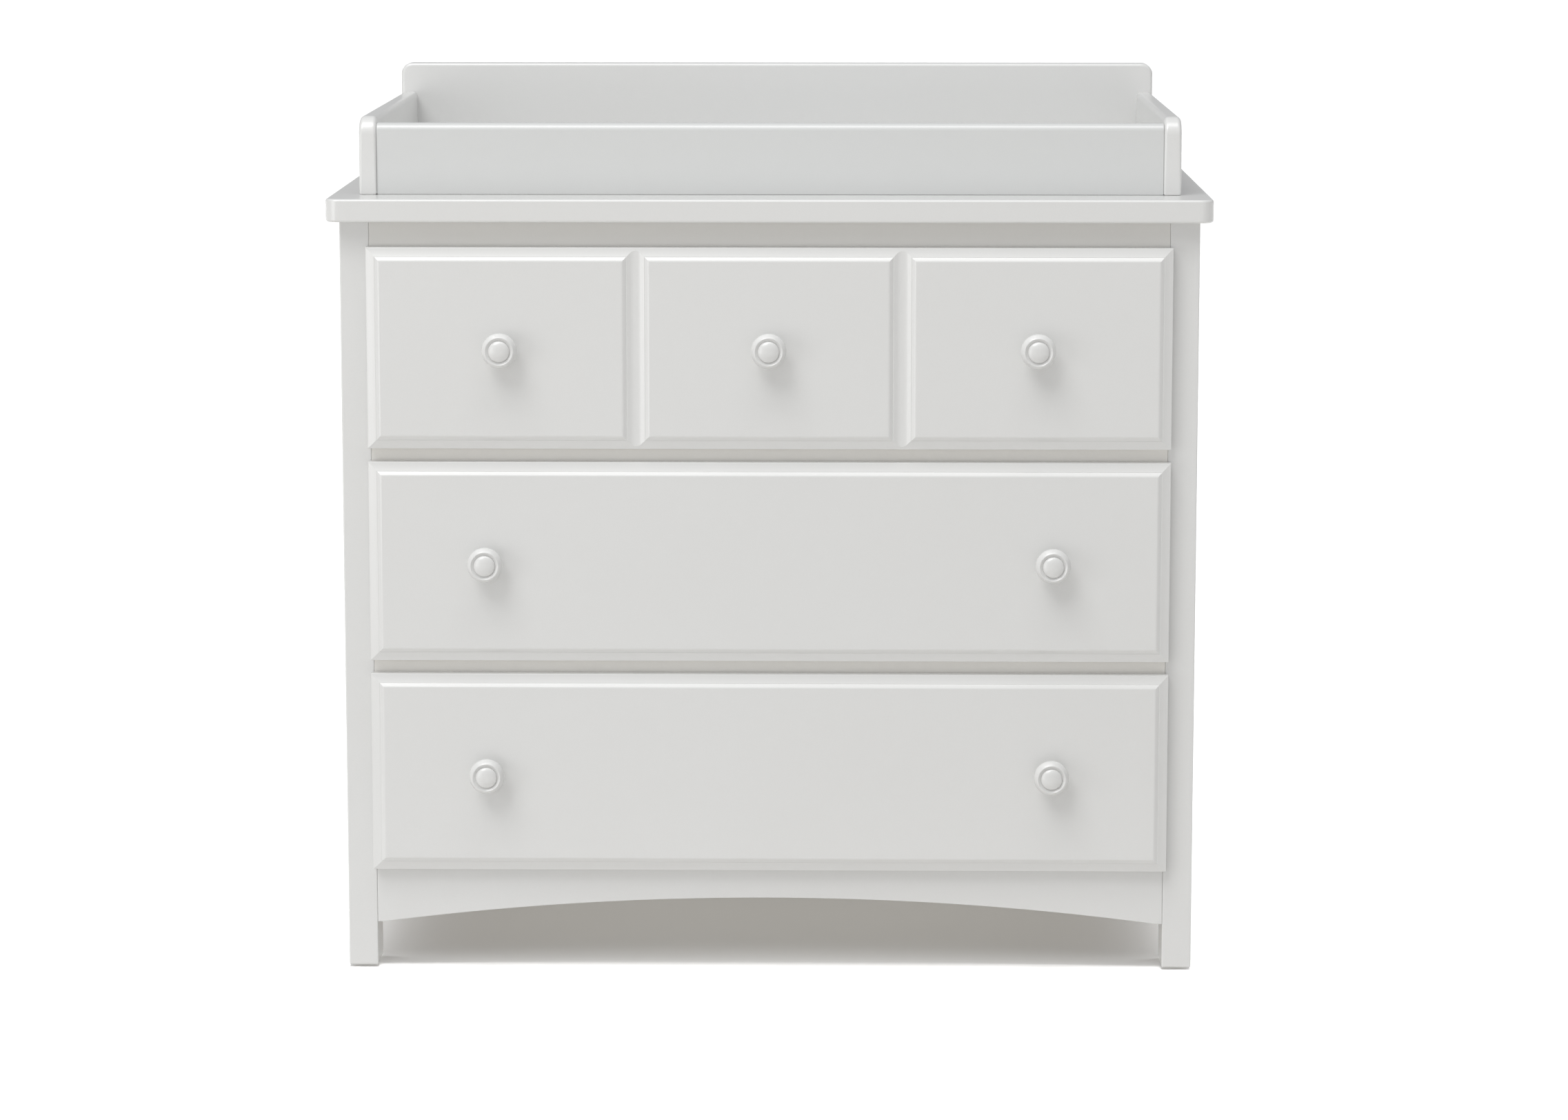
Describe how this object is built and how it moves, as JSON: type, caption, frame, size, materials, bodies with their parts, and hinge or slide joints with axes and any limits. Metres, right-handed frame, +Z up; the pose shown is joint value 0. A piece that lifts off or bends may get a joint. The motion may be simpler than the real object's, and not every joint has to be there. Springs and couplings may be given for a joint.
{
  "type": "changing table",
  "caption": "Nursery dresser with full-width drawers on telescopic slides and an open changing tray with a taller back board on its top.",
  "frame": {"origin": "on the floor, in the middle of the whole object's width and depth, knobs included", "axes": "+X to the right seen from the front, +Y to the back, +Z up"},
  "size_m": [0.9144, 0.539, 0.929],
  "materials": {
    "painted_wood": "satin white paint",
    "drawer_ply": "clear lacquered birch plywood",
    "hardboard": "white faced hardboard",
    "slide_steel": "zinc plated",
    "screw_steel": "zinc plated",
    "glide_plastic": "moulded"
  },
  "bodies": {
    "root": {"apron": "painted_wood", "back_panel": "hardboard", "glides": "glide_plastic", "mid_rail_lower": "painted_wood", "mid_rail_upper": "painted_wood", "post_front_left": "painted_wood", "post_front_right": "painted_wood", "post_rear_left": "painted_wood", "post_rear_right": "painted_wood", "rear_rail_bottom": "painted_wood", "rear_rail_top": "painted_wood", "side_panel_left": "painted_wood", "side_panel_right": "painted_wood", "side_rail_bottom_left": "painted_wood", "side_rail_bottom_right": "painted_wood", "side_rail_top_left": "painted_wood", "side_rail_top_right": "painted_wood", "slide_rails_bottom": "slide_steel", "slide_rails_middle": "slide_steel", "slide_rails_top": "slide_steel", "slide_screws": "screw_steel", "top_rail": "painted_wood", "top_slab": "painted_wood", "tray_back": "painted_wood", "tray_front": "painted_wood", "tray_plates": "slide_steel", "tray_screws": "screw_steel", "tray_side_left": "painted_wood", "tray_side_right": "painted_wood"},
    "drawer_bottom": {"drawer_bottom_back": "drawer_ply", "drawer_bottom_bottom": "hardboard", "drawer_bottom_front": "painted_wood", "drawer_bottom_knob_screws": "screw_steel", "drawer_bottom_runners": "slide_steel", "drawer_bottom_side_left": "drawer_ply", "drawer_bottom_side_right": "drawer_ply", "knob_bottom_left": "painted_wood", "knob_bottom_right": "painted_wood"},
    "carriers_bottom": {"slide_carriers_bottom": "slide_steel"},
    "drawer_middle": {"drawer_middle_back": "drawer_ply", "drawer_middle_bottom": "hardboard", "drawer_middle_front": "painted_wood", "drawer_middle_knob_screws": "screw_steel", "drawer_middle_runners": "slide_steel", "drawer_middle_side_left": "drawer_ply", "drawer_middle_side_right": "drawer_ply", "knob_middle_left": "painted_wood", "knob_middle_right": "painted_wood"},
    "carriers_middle": {"slide_carriers_middle": "slide_steel"},
    "drawer_top": {"drawer_top_back": "drawer_ply", "drawer_top_bottom": "hardboard", "drawer_top_front": "painted_wood", "drawer_top_knob_screws": "screw_steel", "drawer_top_runners": "slide_steel", "drawer_top_side_left": "drawer_ply", "drawer_top_side_right": "drawer_ply", "knob_top_center": "painted_wood", "knob_top_left": "painted_wood", "knob_top_right": "painted_wood"},
    "carriers_top": {"slide_carriers_top": "slide_steel"}
  },
  "joints": [
    {"name": "drawer_bottom_slide", "type": "slide", "parent": "root", "child": "drawer_bottom", "axis": [0, -1, 0], "range_m": [0, 0.43]},
    {"name": "carriers_bottom_slide", "type": "slide", "parent": "root", "child": "carriers_bottom", "axis": [0, -1, 0], "range_m": [0, 0.215]},
    {"name": "drawer_middle_slide", "type": "slide", "parent": "root", "child": "drawer_middle", "axis": [0, -1, 0], "range_m": [0, 0.43]},
    {"name": "carriers_middle_slide", "type": "slide", "parent": "root", "child": "carriers_middle", "axis": [0, -1, 0], "range_m": [0, 0.215]},
    {"name": "drawer_top_slide", "type": "slide", "parent": "root", "child": "drawer_top", "axis": [0, -1, 0], "range_m": [0, 0.43]},
    {"name": "carriers_top_slide", "type": "slide", "parent": "root", "child": "carriers_top", "axis": [0, -1, 0], "range_m": [0, 0.215]}
  ],
  "couplings": [
    {"joint": "carriers_bottom_slide", "follows": "drawer_bottom_slide", "ratio": 0.5},
    {"joint": "carriers_middle_slide", "follows": "drawer_middle_slide", "ratio": 0.5},
    {"joint": "carriers_top_slide", "follows": "drawer_top_slide", "ratio": 0.5}
  ]
}
